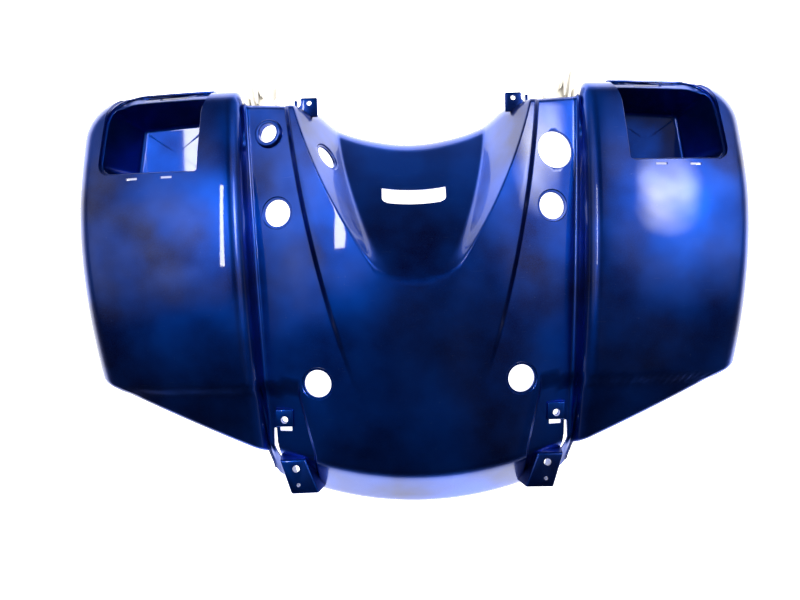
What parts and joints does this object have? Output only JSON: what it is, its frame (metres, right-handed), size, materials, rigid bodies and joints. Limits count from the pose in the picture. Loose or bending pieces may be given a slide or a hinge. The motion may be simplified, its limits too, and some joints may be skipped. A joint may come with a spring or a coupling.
{
  "type": "front body cover",
  "caption": "Moulded front body cover of a four-wheeled seat scooter: crowned panel with a steering column recess between two raised wings with lamp pockets, bumper brackets and top forks.",
  "frame": {"origin": "middle of the cover's outline in plan, on the level of the wing flanges it lies on", "axes": "+X across the cover between the two wings, +Y towards the steering column side, +Z out of the painted face"},
  "size_m": [0.68, 0.451, 0.1257],
  "materials": {
    "painted_shell": "metallic deep blue paint under clear gloss lacquer on moulded plastic"
  },
  "bodies": {
    "root": {"front_body_cover": "painted_shell"}
  },
  "joints": []
}
